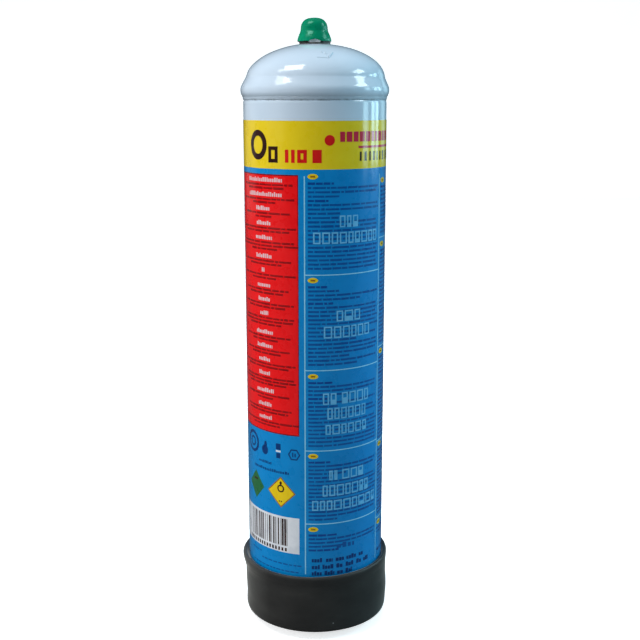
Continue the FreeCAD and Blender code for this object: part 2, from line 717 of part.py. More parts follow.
for item in doc.Objects:
    if {"Invalid", "Error"} & set(item.State):
        raise RuntimeError(f"{item.Label} did not compute: {item.State}")
for body in subparts:
    if body.Shape.isNull() or not body.Shape.isValid():
        raise RuntimeError(f"{body.Label} has no valid shape")

os.makedirs("parts", exist_ok=True)
for body in subparts:
    body.Shape.exportStep(f"parts/{body.Label}.step")
    print(f"{body.Label:16s} {body.Shape.Volume / 1000:9.3f} cm3  solids {len(body.Shape.Solids)}")
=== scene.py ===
import math
import random

import bpy
from mathutils import Matrix, Vector


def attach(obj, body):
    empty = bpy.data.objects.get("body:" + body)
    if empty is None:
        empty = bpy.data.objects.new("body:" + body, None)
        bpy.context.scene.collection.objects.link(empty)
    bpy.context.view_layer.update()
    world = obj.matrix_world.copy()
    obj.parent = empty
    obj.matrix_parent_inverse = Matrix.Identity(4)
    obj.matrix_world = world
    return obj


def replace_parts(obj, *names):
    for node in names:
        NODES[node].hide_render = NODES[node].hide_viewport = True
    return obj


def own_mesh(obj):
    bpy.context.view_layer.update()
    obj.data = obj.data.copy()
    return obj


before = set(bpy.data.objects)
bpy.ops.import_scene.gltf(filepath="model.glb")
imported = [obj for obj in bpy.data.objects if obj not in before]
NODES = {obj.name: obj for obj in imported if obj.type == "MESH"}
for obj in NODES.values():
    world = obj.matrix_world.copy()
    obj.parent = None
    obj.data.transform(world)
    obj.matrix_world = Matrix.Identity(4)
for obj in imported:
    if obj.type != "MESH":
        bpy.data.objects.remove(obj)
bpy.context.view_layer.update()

# All shapes below are given in millimetres and degrees. Angles round the cylinder are measured
# from the front (-Y), positive towards +X.
MM = 0.001
BODY_RADIUS = 36.0
FILM_RADIUS = 36.13


# -------------------------------------- colours and materials

def rgb(red, green, blue):
    """An sRGB colour of 0 to 255 as linear RGBA."""
    def linear(value):
        value /= 255
        return value / 12.92 if value <= 0.04045 else ((value + 0.055) / 1.055) ** 2.4
    return (linear(red), linear(green), linear(blue), 1.0)


class Nodes:
    """The node tree of a material or a world, with short calls for the nodes used here."""

    def __init__(self, owner, shader="Principled BSDF", place="Object"):
        owner.use_nodes = True
        self.owner = owner
        self.tree = owner.node_tree
        self.shader = self.tree.nodes[shader]
        self.place = self.add("ShaderNodeTexCoord").outputs[place]

    def add(self, kind, **settings):
        node = self.tree.nodes.new(kind)
        for key, value in settings.items():
            setattr(node, key, value)
        return node

    def link(self, source, target):
        self.tree.links.new(source, target)

    def stretch(self, scale):
        mapping = self.add("ShaderNodeMapping")
        mapping.inputs["Scale"].default_value = scale
        self.link(self.place, mapping.inputs["Vector"])
        return mapping.outputs["Vector"]

    def noise(self, scale, detail=3.0, roughness=0.5, stretch=None):
        node = self.add("ShaderNodeTexNoise")
        node.inputs["Scale"].default_value = scale
        node.inputs["Detail"].default_value = detail
        node.inputs["Roughness"].default_value = roughness
        self.link(self.stretch(stretch) if stretch else self.place, node.inputs["Vector"])
        return node.outputs["Fac"]

    def ramp(self, source, *stops):
        node = self.add("ShaderNodeValToRGB")
        ramp = node.color_ramp
        ramp.elements[0].position, ramp.elements[0].color = stops[0]
        ramp.elements[1].position, ramp.elements[1].color = stops[-1]
        for position, colour in stops[1:-1]:
            ramp.elements.new(position).color = colour
        self.link(source, node.inputs["Fac"])
        return node.outputs["Color"]

    def mix(self, fraction, first, second):
        """First where the fraction is 0, second where it is 1."""
        node = self.add("ShaderNodeMix", data_type="RGBA")
        for value, key in ((fraction, 0), (first, 6), (second, 7)):
            if isinstance(value, (int, float, tuple)):
                node.inputs[key].default_value = value
            else:
                self.link(value, node.inputs[key])
        return node.outputs[2]

    def scaled(self, source, low, high, start=0.3, stop=0.7):
        """Runs from low to high while the source runs from start to stop."""
        node = self.add("ShaderNodeMapRange")
        limits = {"From Min": start, "From Max": stop, "To Min": low, "To Max": high}
        for key, value in limits.items():
            node.inputs[key].default_value = value
        self.link(source, node.inputs["Value"])
        return node.outputs["Result"]

    def axis(self, letter):
        """The position along X, Y or Z in metres."""
        node = self.add("ShaderNodeSeparateXYZ")
        self.link(self.place, node.inputs["Vector"])
        return node.outputs[letter]

    def times(self, first, second):
        node = self.add("ShaderNodeMath", operation="MULTIPLY")
        self.link(first, node.inputs[0])
        self.link(second, node.inputs[1])
        return node.outputs[0]

    def bump(self, source, distance, strength=1.0, after=None):
        node = self.add("ShaderNodeBump")
        node.inputs["Strength"].default_value = strength
        node.inputs["Distance"].default_value = distance
        self.link(source, node.inputs["Height"])
        if after is not None:
            self.link(after, node.inputs["Normal"])
        return node.outputs["Normal"]

    def finish(self, **inputs):
        for key, value in inputs.items():
            socket = self.shader.inputs[key.replace("_", " ")]
            if isinstance(value, (int, float, tuple)):
                socket.default_value = value
            else:
                self.link(value, socket)
        return self.owner


def surface(name):
    return Nodes(bpy.data.materials.new(name))


def plain(name, dark, light, scale, rough, bump=0.0, stretch=None, **inputs):
    """A material whose colour, roughness and relief vary with one noise."""
    nodes = surface(name)
    grain = nodes.noise(scale, 4.0, 0.55, stretch)
    if bump:
        inputs["Normal"] = nodes.bump(grain, bump)
    return nodes.finish(
        Base_Color=nodes.ramp(grain, (0.3, dark), (0.7, light)),
        Roughness=nodes.scaled(grain, *rough), **inputs)


def paint(name, dirt_low, dirt_and_shade_high, painted_shade=0.0):
    """Glossy white enamel with faint orange peel, soot caught between two heights and painted
    shade under the bead: a grey cast that fades out above them."""
    nodes = surface(name)
    broad = nodes.noise(28.0, 2.0)
    speck = nodes.noise(420.0, 4.0, 0.7)
    colour = nodes.ramp(broad, (0.35, rgb(208, 224, 239)), (0.65, rgb(215, 230, 245)))
    height = nodes.axis("Z")
    middle = (dirt_low + dirt_and_shade_high) / 2
    band = nodes.times(nodes.scaled(height, 0.0, 1.0, dirt_low, middle),
                       nodes.scaled(height, 1.0, 0.0, middle, dirt_and_shade_high))
    soot = nodes.times(band, nodes.scaled(speck, 0.0, 1.0, 0.42, 0.66))
    # Painted shade under the bead: grey below the soot's upper height, fading out above it.
    colour = nodes.mix(nodes.scaled(height, painted_shade, 0.0, dirt_and_shade_high - 0.0004, dirt_and_shade_high + 0.0016),
                       colour, rgb(120, 130, 138))
    colour = nodes.mix(nodes.scaled(soot, 0.0, 0.5, 0.0, 1.0), colour, rgb(70, 72, 74))
    return nodes.finish(
        Base_Color=colour, Roughness=nodes.scaled(broad, 0.10, 0.16),
        Specular_IOR_Level=0.6, Coat_Weight=0.5, Coat_Roughness=0.05,
        Normal=nodes.bump(nodes.noise(260.0, 2.0), 0.00002, 0.6))


def ink_paint(name, dark, light):
    """Printing ink under a clear laminate."""
    return plain(name, dark, light, 160.0, (0.24, 0.34), Specular_IOR_Level=0.2,
                 Coat_Weight=1.0, Coat_Roughness=0.10, Coat_IOR=1.6)


def rubber(name):
    """Black moulded rubber with scuffs, a few white specks and a painted sheen on its left side."""
    nodes = surface(name)
    grain = nodes.noise(900.0, 3.0, 0.6)
    scuff = nodes.noise(38.0, 5.0, 0.65, (1.0, 1.0, 2.4))
    colour = nodes.ramp(scuff, (0.36, rgb(42, 41, 40)), (0.62, rgb(52, 51, 49)),
                        (0.78, rgb(70, 68, 64)))
    cells = nodes.add("ShaderNodeTexVoronoi", feature="F1")
    cells.inputs["Scale"].default_value = 150.0
    nodes.link(nodes.place, cells.inputs["Vector"])
    dots = nodes.scaled(cells.outputs["Distance"], 1.0, 0.0, 0.04, 0.08)
    few = nodes.scaled(nodes.noise(23.0, 1.0), 0.0, 1.0, 0.54, 0.56)
    # Painted sheen: the rubber is lightened towards its left edge.
    painted_left_sheen = nodes.scaled(nodes.axis("X"), 0.10, 0.0, -0.0375, -0.024)
    colour = nodes.mix(painted_left_sheen, colour, rgb(186, 184, 178))
    colour = nodes.mix(nodes.times(dots, few), colour, rgb(190, 190, 188))
    relief = nodes.bump(scuff, 0.0003, 0.5)
    return nodes.finish(
        Base_Color=colour, Roughness=nodes.scaled(scuff, 0.42, 0.6), Specular_IOR_Level=0.45,
        Sheen_Weight=0.8, Sheen_Roughness=0.3, Sheen_Tint=rgb(235, 230, 220),
        Normal=nodes.bump(grain, 0.00004, 0.5, relief))


def cap_plastic(name):
    """Soft green plastic, slightly cloudy and translucent, with a green cast in its gloss."""
    nodes = surface(name)
    cloud = nodes.noise(60.0, 1.0, 0.5)
    colour = nodes.ramp(cloud, (0.3, rgb(0, 128, 90)), (0.7, rgb(0, 140, 101)))
    return nodes.finish(
        Base_Color=colour, Roughness=nodes.scaled(cloud, 0.22, 0.24), Specular_IOR_Level=0.4,
        Specular_Tint=(0.45, 0.95, 0.85, 1.0),
        Subsurface_Weight=0.08, Subsurface_Radius=(0.1, 1.0, 0.5), Subsurface_Scale=0.0012,
        Normal=nodes.bump(cloud, 0.00001, 0.5))


def valve_metal(name):
    """Nickel-plated brass, with painted shade at the collar's foot and a painted glint in the
    notch.
    """
    nodes = surface(name)
    grain = nodes.noise(300.0, 4.0, 0.55, (1.0, 1.0, 8.0))
    away = nodes.add("ShaderNodeMath", operation="ABSOLUTE")
    nodes.link(nodes.axis("X"), away.inputs[0])
    covered = nodes.scaled(away.outputs[0], 0.0, 1.0, 0.0024, 0.0032)
    height = nodes.axis("Z")
    # Painted shade: the collar's foot is darkened where the cap's skirt covers it.
    painted_shade = nodes.times(covered, nodes.scaled(height, 1.0, 0.0, 0.3007, 0.3011))
    # Painted glint: in the cap's notch the collar is made near white and not metallic.
    painted_glint = nodes.times(nodes.scaled(covered, 1.0, 0.0, 0.0, 1.0),
                         nodes.scaled(height, 1.0, 0.0, 0.3018, 0.3024))
    dull = nodes.ramp(grain, (0.3, rgb(176, 174, 166)), (0.7, rgb(206, 206, 200)))
    with_painted_glint = nodes.mix(painted_glint, dull, rgb(250, 250, 252))
    return nodes.finish(
        Base_Color=nodes.mix(painted_shade, with_painted_glint, rgb(52, 48, 48)),
        Metallic=nodes.scaled(painted_glint, 0.5, 0.0, 0.0, 1.0), Roughness=nodes.scaled(grain, 0.36, 0.5),
        Normal=nodes.bump(grain, 0.00002))


def metal(name, dark, light, rough, metallic=1.0):
    """Metal with a fine lengthwise grain."""
    return plain(name, dark, light, 300.0, rough, 0.00002, (1.0, 1.0, 8.0), Metallic=metallic)


PAINT_BODY = paint("enamel_body", 0.2716, 0.2730)
# The dome's and the weld's enamel carry painted shade under the bead, at strength 0.36.
PAINT_DOME = paint("enamel_dome", 0.2730, 0.2742, 0.36)
PAINT_WELD = paint("enamel_weld", 0.2718, 0.2732, 0.36)
RUBBER = rubber("boot_rubber")
CAP = cap_plastic("cap_plastic")
BRASS = metal("nickel_brass", rgb(196, 194, 184), rgb(226, 226, 220), (0.36, 0.5), 0.4)
VALVE = valve_metal("nickel_brass_collar")
STEEL = metal("turned_steel", rgb(128, 128, 126), rgb(176, 176, 174), (0.3, 0.45))
PIN_STEEL = metal("pin_steel", rgb(176, 178, 182), rgb(214, 216, 220), (0.12, 0.22))
SPRING = metal("spring_steel", rgb(140, 142, 146), rgb(190, 192, 196), (0.18, 0.3))
BRONZE = plain("sintered_bronze", rgb(96, 70, 44), rgb(168, 128, 84), 3000.0, (0.5, 0.8), 0.00008,
               Metallic=0.8)
WELD_BARE = plain("bare_weld", rgb(58, 54, 52), rgb(98, 92, 88), 700.0, (0.5, 0.7), 0.0001,
                  Metallic=0.7)
FIBRE = plain("gasket_fibre", rgb(58, 54, 50), rgb(88, 84, 78), 1500.0, (0.7, 0.85), 0.00003)
SEAL = plain("seal_rubber", rgb(18, 18, 18), rgb(30, 30, 30), 900.0, (0.4, 0.55), 0.00002)
FILM = ink_paint("clear_white_film", rgb(222, 226, 232), rgb(236, 239, 244))
BLUE = ink_paint("ink_blue", rgb(0, 136, 208), rgb(0, 143, 216))
YELLOW = ink_paint("ink_yellow", rgb(246, 211, 16), rgb(250, 217, 26))
RED = ink_paint("ink_red", rgb(250, 8, 14), rgb(255, 16, 20))
DARK_RED = ink_paint("ink_dark_red", rgb(104, 10, 18), rgb(128, 14, 22))
TEXT_RED = ink_paint("ink_text_red", rgb(142, 6, 12), rgb(164, 8, 14))
NAVY = ink_paint("ink_navy", rgb(0, 52, 112), rgb(0, 62, 126))
HEAD_BLUE = ink_paint("ink_head_blue", rgb(0, 70, 146), rgb(0, 80, 158))
MID_BLUE = ink_paint("ink_mid_blue", rgb(0, 82, 154), rgb(0, 92, 164))
PALE_BLUE = ink_paint("ink_pale_blue", rgb(142, 214, 242), rgb(164, 224, 248))
WORD_BLUE = ink_paint("ink_word_blue", rgb(98, 184, 232), rgb(124, 200, 240))
BLACK = ink_paint("ink_black", rgb(46, 18, 14), rgb(58, 26, 18))
WHITE = ink_paint("ink_white", rgb(226, 228, 234), rgb(242, 243, 247))
HEAD_WHITE = ink_paint("ink_head_white", rgb(226, 196, 200), rgb(238, 212, 216))
GREEN = ink_paint("ink_green", rgb(36, 104, 58), rgb(48, 118, 68))
OVAL_YELLOW = ink_paint("ink_oval_yellow", rgb(246, 206, 12), rgb(250, 214, 24))
ORANGE = ink_paint("ink_orange", rgb(150, 92, 20), rgb(176, 112, 28))
CRIMSON = ink_paint("ink_crimson", rgb(222, 20, 16), rgb(232, 28, 22))
MAUVE = ink_paint("ink_mauve", rgb(202, 30, 62), rgb(214, 40, 74))


# -------------------------------------- mesh helpers

def add_piece(name, verts, faces, material, body, sharp=38.0, normals=None):
    """Makes a mesh from millimetre vertices, shades it smooth and lets it ride on its body."""
    mesh = bpy.data.meshes.new(name)
    mesh.from_pydata([(x * MM, y * MM, z * MM) for x, y, z in verts], [], faces)
    mesh.materials.append(material)
    mesh.update()
    mesh.shade_smooth()
    if normals:
        mesh.normals_split_custom_set(normals)
    else:
        mesh.set_sharp_from_angle(angle=math.radians(sharp))
    piece = bpy.data.objects.new(name, mesh)
    bpy.context.scene.collection.objects.link(piece)
    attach(piece, body)
    return piece


def clamp(value):
    return max(0.0, min(1.0, value))


def rounded(corners):
    """Corners (radius, height, rounding) as a path whose corners are turned into small curves."""
    steps = 5
    path = []
    count = len(corners)
    for index, (radius, height, rounding) in enumerate(corners):
        here = Vector((radius, height))
        if rounding <= 0:
            path.append(here)
            continue
        before = Vector(corners[index - 1][:2])
        after = Vector(corners[(index + 1) % count][:2])
        start = here + (before - here).normalized() * rounding
        finish = here + (after - here).normalized() * rounding
        for step in range(steps + 1):
            t = step / steps
            path.append(start * (1 - t) ** 2 + here * 2 * t * (1 - t) + finish * t ** 2)
    return [(p.x, p.y) for p in path]


def curve(points, per_span=6):
    """A smooth path through the points."""
    points = [Vector(p) for p in points]
    path = []
    for index in range(len(points) - 1):
        p0 = points[max(index - 1, 0)]
        p1, p2 = points[index], points[index + 1]
        p3 = points[min(index + 2, len(points) - 1)]
        for step in range(per_span):
            t = step / per_span
            path.append(0.5 * (2 * p1 + (p2 - p0) * t + (2 * p0 - 5 * p1 + 4 * p2 - p3) * t ** 2
                               + (3 * p1 - p0 - 3 * p2 + p3) * t ** 3))
    path.append(points[-1])
    return [(p.x, p.y) for p in path]


def dish(radius, depth, base, start, stop, steps, sign=1):
    """Points on an elliptical dish between two angles from the axis."""
    angles = [start + (stop - start) * i / steps for i in range(steps + 1)]
    return [(radius * math.sin(math.radians(a)), base + sign * depth * math.cos(math.radians(a)))
            for a in angles]


def lathe(name, outline, turns, material, body, shape=None, sharp=38.0):
    """Turns an outline (radius, height) round the axis. The outline is closed unless both its ends
    lie on the axis, and runs up the outside. shape(angle, radius, height) may move points."""
    closed = not (outline[0][0] < 1e-6 and outline[-1][0] < 1e-6)
    verts, rings = [], []
    for radius, height in outline:
        if radius < 1e-6:
            rings.append([len(verts)])
            verts.append((0.0, 0.0, height))
            continue
        rings.append(list(range(len(verts), len(verts) + turns)))
        for step in range(turns):
            angle = 2 * math.pi * step / turns
            r, z = shape(angle, radius, height) if shape else (radius, height)
            verts.append((r * math.sin(angle), -r * math.cos(angle), z))
    faces = []
    for index in range(len(rings) if closed else len(rings) - 1):
        low, high = rings[index], rings[(index + 1) % len(rings)]
        if len(low) == len(high) == 1:
            continue
        for step in range(turns):
            after = (step + 1) % turns
            if len(low) == 1:
                faces.append((low[0], high[after], high[step]))
            elif len(high) == 1:
                faces.append((low[step], low[after], high[0]))
            else:
                faces.append((low[step], low[after], high[after], high[step]))
    return add_piece(name, verts, faces, material, body, sharp)


# -------------------------------------- steel vessel

def painted_body():
    """The drawn body: a dished bottom, a straight wall and a necked-in rim inside the dome."""
    wall, base, depth = 2.2, 21.4, 18.7
    outer = dish(BODY_RADIUS, depth, base, 0, 90, 24, -1)
    inner = dish(BODY_RADIUS - wall, depth - wall, base, 90, 0, 24, -1)
    outline = (outer
               + [(BODY_RADIUS, z) for z in (60.0, 120.0, 180.0, 230.0, 262.0, 270.6)]
               + curve([(36.0, 271.2), (35.8, 272.0), (35.3, 272.9), (35.1, 273.8)], 3)
               + [(35.1, 280.3), (34.9, 280.6), (33.1, 280.6), (32.9, 280.4), (32.9, 273.4),
                  (33.8, 271.6)]
               + inner)
    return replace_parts(lathe("painted_body", outline, 240, PAINT_BODY, "cylinder"),
                       "lower_shell")


CROWN_RADIUS, CROWN_DEPTH, CROWN_BASE = 35.25, 18.3, 281.5


def dome_profile():
    """The outside of the belled dome, from its skirt's lower edge up to the neck."""
    bead = curve([(36.1, 273.5), (36.45, 274.2), (36.85, 275.0), (37.15, 275.9), (37.28, 276.9),
                  (37.26, 277.8), (37.1, 278.6), (36.8, 279.4), (36.45, 280.2), (36.08, 281.0),
                  (35.7, 281.85), (35.33, 282.7), (35.06, 283.4), (34.9, 284.0)], 5)
    return bead + dish(CROWN_RADIUS, CROWN_DEPTH, CROWN_BASE, 80.0, 13.2, 64)


def painted_dome():
    outside = dome_profile()
    neck = [(7.95, 299.28), (7.93, 297.6)]
    inside = dish(33.4, 16.5, 281.5, 14.0, 84.0, 24)
    skirt = [(33.1, 282.4), (35.13, 281.0), (35.13, 274.2)]

    def wobble(angle, radius, height):
        """Waves the bead, pinches the waist on the left and leans the crown to the right."""
        rise = 0.05 * math.sin(2 * angle + 0.6) + 0.04 * math.sin(5 * angle + 1.9)
        bead = max(0.0, 1 - abs(height - 277.5) / 4.5)
        crown = clamp((height - 283.0) / 8.0) * clamp((radius - 10.0) / 8.0)
        pinch = 0.45 * math.exp(-((height - 284.0) / 2.8) ** 2) * max(0.0, -math.sin(angle))
        return radius + rise * bead + 0.72 * crown * math.sin(angle) - pinch, height
    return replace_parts(lathe("painted_dome", outside + neck + inside + skirt, 240, PAINT_DOME,
                             "cylinder", wobble), "upper_dome")


def seam_weld():
    """The uneven ring of weld under the bead, painted over."""
    draw = random.Random(5)
    waves = [(draw.uniform(0.03, 0.09), draw.randrange(7, 60), draw.uniform(0, 6.28))
             for _ in range(9)]

    def uneven(angle, radius, height):
        ripple = sum(size * math.sin(count * angle + phase) for size, count, phase in waves)
        outer = clamp((radius - 35.9) / 0.3)
        low = clamp(273.6 - height)
        return radius + 0.12 * ripple * outer, height + 1.1 * ripple * outer * low
    outline = curve([(35.7, 272.3), (36.03, 272.6), (36.1, 273.0), (36.2, 273.4), (36.3, 273.8),
                     (36.1, 274.0)], 5)
    outline += [(35.3, 273.9), (35.2, 273.3), (35.45, 272.6)]
    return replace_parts(lathe("seam_weld_bead", outline, 360, PAINT_WELD, "cylinder",
                             uneven), "seam_weld")


def dome_height(radius):
    """Height of the dome's outside at a radius."""
    return CROWN_BASE + CROWN_DEPTH * math.sqrt(1 - (radius / CROWN_RADIUS) ** 2)


def dome_stamp():
    """Shallow raised strokes stamped into the front of the dome."""
    verts, faces = [], []
    strokes = [((1.2, -29.0), (6.7, -28.6), 0.44, 0.5), ((6.7, -28.6), (8.5, -24.4), 0.5, 0.85),
               ((3.3, -24.2), (3.9, -25.6), 0.34, 0.5), ((5.1, -24.6), (5.6, -26.2), 0.34, 0.55)]
    for (x0, y0), (x1, y1), half, lift in strokes:
        along = Vector((x1 - x0, y1 - y0))
        side = Vector((-along.y, along.x)).normalized() * half
        steps = max(2, int(along.length / 0.5))
        base = len(verts)
        ring = 6
        for step in range(steps + 1):
            centre = Vector((x0, y0)) + along * step / steps
            for part in range(ring):
                angle = math.pi * part / (ring - 1)
                p = centre + side * math.cos(angle)
                up = dome_height(p.length) + lift * math.sin(angle) - 0.05
                verts.append((p.x, p.y, up))
            verts.append((centre.x, centre.y, dome_height(centre.length) - 0.3))
        width = ring + 1
        for step in range(steps):
            for part in range(width):
                a = base + step * width + part
                b = base + step * width + (part + 1) % width
                faces.append((a, a + width, b + width, b))
        faces.append(tuple(range(base, base + width)))
        faces.append(tuple(base + steps * width + i for i in reversed(range(width))))
    return add_piece("dome_stamp", verts, faces, PAINT_DOME, "cylinder", 60)


# -------------------------------------- rubber boot

def boot():
    corners = [(37.2, 0.0, 0.9), (37.75, 1.4, 0.9), (37.9, 4.0, 0.8), (38.2, 9.0, 2.0),
               (38.45, 15.0, 2.0), (38.6, 21.0, 2.0), (38.68, 26.4, 0.9), (39.0, 28.2, 1.0),
               (39.15, 31.0, 0.9), (38.2, 31.9, 0.5), (37.0, 31.5, 0.3), (36.04, 28.6, 0.3)]
    path = rounded([(30.0, 0.0, 0.0)] + corners + [(36.04, 24.0, 0.0)])
    outline = [(0.0, 0.0)] + path + dish(36.03, 18.73, 21.4, 90, 0, 18, -1)

    def skew(angle, radius, height):
        """Swells the foot on the right and the lip on the left, and lets the rim sag and wave."""
        if radius < 36.5 or height < 0.5:
            return radius, height
        left = max(0.0, -math.sin(angle))
        right = max(0.0, math.sin(angle))
        top = clamp((height - 24.0) / 6.0)
        low = clamp((19.0 - height) / 7.0)
        middle = clamp(min((26.0 - height) / 3.0, (height - 3.0) / 5.0))
        radius += 0.7 * right * low + left * (0.5 * top - 0.5 * middle)
        radius += 0.1 * math.sin(3 * angle + 0.8) * top
        height += top * (0.45 * math.sin(angle - 0.3) + 0.12 * math.sin(4 * angle))
        return radius, height
    piece = lathe("rubber_boot", outline, 240, RUBBER, "cylinder", skew, 50)
    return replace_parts(piece, "base_boot")


# -------------------------------------- cap

def cap():
    outer = curve([(8.2, 300.7), (8.3, 300.95), (8.16, 301.9), (7.85, 302.9), (7.42, 304.0),
                   (7.0, 304.9), (6.72, 305.7), (6.58, 306.6), (6.47, 307.6), (6.28, 308.5),
                   (5.95, 309.35), (5.4, 310.2), (4.65, 310.95), (3.7, 311.5), (2.6, 311.88),
                   (1.3, 312.1), (0.0, 312.18)], 4)
    inner = curve([(0.0, 311.75), (2.8, 311.45), (4.0, 310.95), (5.0, 310.0), (5.55, 309.0),
                   (5.9, 308.2), (6.1, 307.2), (6.22, 306.2), (6.6, 305.1), (7.1, 303.9),
                   (7.5, 302.6), (7.85, 301.3), (7.95, 300.75)], 4)
    dent_angle, rim_radius, notch_rise, notch_half, notch_top = 0.42, 8.2, 0.75, 2.9, 303.2

    def squeeze(angle, radius, height):
        """Makes the cap uneven, dents it at the front left and cuts the thumb notch."""
        right = math.sin(angle)
        up = clamp((height - 301.0) / 8.0)
        grow = 0.22 + 0.1 * math.sin(2 * angle + 0.4) + 0.07 * math.sin(3 * angle - 1.1) * up
        from_dent = (angle + dent_angle + math.pi) % (2 * math.pi) - math.pi
        dent = -0.34 * math.exp(-(from_dent / 0.42) ** 2 - ((height - 306.1) / 1.4) ** 2)
        radius += (grow + dent - (0.2 + 0.1 * up) * right) * min(1.0, radius / 3.0)
        front = ((angle + math.pi) % (2 * math.pi) - math.pi) * rim_radius
        arch = notch_rise * max(0.0, 1 - (front / notch_half) ** 2)
        if height < notch_top:
            height += arch * (notch_top - height) / 2.25
        return radius, height
    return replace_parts(lathe("push_on_cap", outer + inner, 144, CAP, "cap",
                             squeeze, 60), "outlet_cap")


# -------------------------------------- valve

def valve():
    """Brass valve body with its hexagon and its helical outlet thread."""
    pitch, depth, crest, low, high = 1.0, 0.55, 5.94, 302.95, 307.9
    flank, run_in, run_out, end_drop = 0.375, 0.5, 0.3, 0.15
    collar_flat, collar_top = 7.0, 302.5
    outer = rounded([(4.0, 281.0, 0.0), (5.0, 281.0, 0.1), (5.5, 281.5, 0.1), (5.5, 299.97, 0.0)])
    outer += [(7.85, 300.0), (7.85, 301.85), (7.3, 302.4), (5.25, 302.4), (5.2, 302.65),
              (5.35, 302.8)]
    rows = int((high - low) / 0.1)
    outer += [(crest, low + (high - low) * i / rows) for i in range(rows + 1)]
    outer += rounded([(5.0, 308.95, 0.1), (3.6, 309.0, 0.1), (3.27, 308.65, 0.1)])
    inner = [(3.27, 307.72), (4.24, 307.7), (4.24, 306.2), (3.27, 306.18), (3.27, 300.6),
             (1.7, 300.6), (1.7, 296.2), (2.1, 296.2), (2.4, 296.7), (4.0, 296.7),
             (4.0, 282.26), (4.35, 282.25), (4.35, 281.7), (4.0, 281.69)]

    def turn(angle, radius, height):
        """Cuts the collar's six flats and the helix of the thread."""
        if radius > 6.5 and height < collar_top:
            flat = (math.degrees(angle) + 30) % 60 - 30
            return min(radius, collar_flat / math.cos(math.radians(flat))), height
        if abs(radius - crest) < 1e-6:
            phase = ((height - low) / pitch - angle / (2 * math.pi)) % 1.0
            tooth = clamp((0.5 - abs(phase - 0.5)) / flank)
            ends = clamp(min((height - low) / run_in, (high - height) / run_out))
            return radius - depth * (1 - tooth) * ends - end_drop * (1 - ends), height
        return radius, height
    piece = lathe("valve_body_turned", outer + inner, 144, VALVE, "cylinder", turn,
                  32)
    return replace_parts(piece, "valve_body")


def spring():
    """The coil under the poppet, drawn at rest on a mesh of its own; the real one shortens as the
    pin is pressed.
    """
    wire, mean, turns, low, high = 0.29, 2.5, 4.5, 285.33, 291.87
    steps, sides = 220, 10
    verts, faces = [], []
    for step in range(steps + 1):
        t = step / steps
        angle = 2 * math.pi * turns * t
        for side in range(sides):
            a = 2 * math.pi * side / sides
            r = mean + wire * math.cos(a)
            up = low + (high - low) * t + wire * math.sin(a)
            verts.append((r * math.cos(angle), r * math.sin(angle), up))
    for step in range(steps):
        for side in range(sides):
            a, b = step * sides + side, step * sides + (side + 1) % sides
            faces.append((a, a + sides, b + sides, b))
    faces.append(tuple(range(sides)))
    faces.append(tuple(steps * sides + i for i in reversed(range(sides))))
    piece = add_piece("return_spring", verts, faces, SPRING, "cylinder", 60)
    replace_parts(piece, "poppet_spring")
    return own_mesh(piece)


# -------------------------------------- printed film

def arc(angle):
    """Length along the film's surface for an angle round it."""
    return math.radians(angle) * FILM_RADIUS


# The longest flat facet, in millimetres, that an ink patch may lay along the round film.
LONGEST_SPAN = 0.9


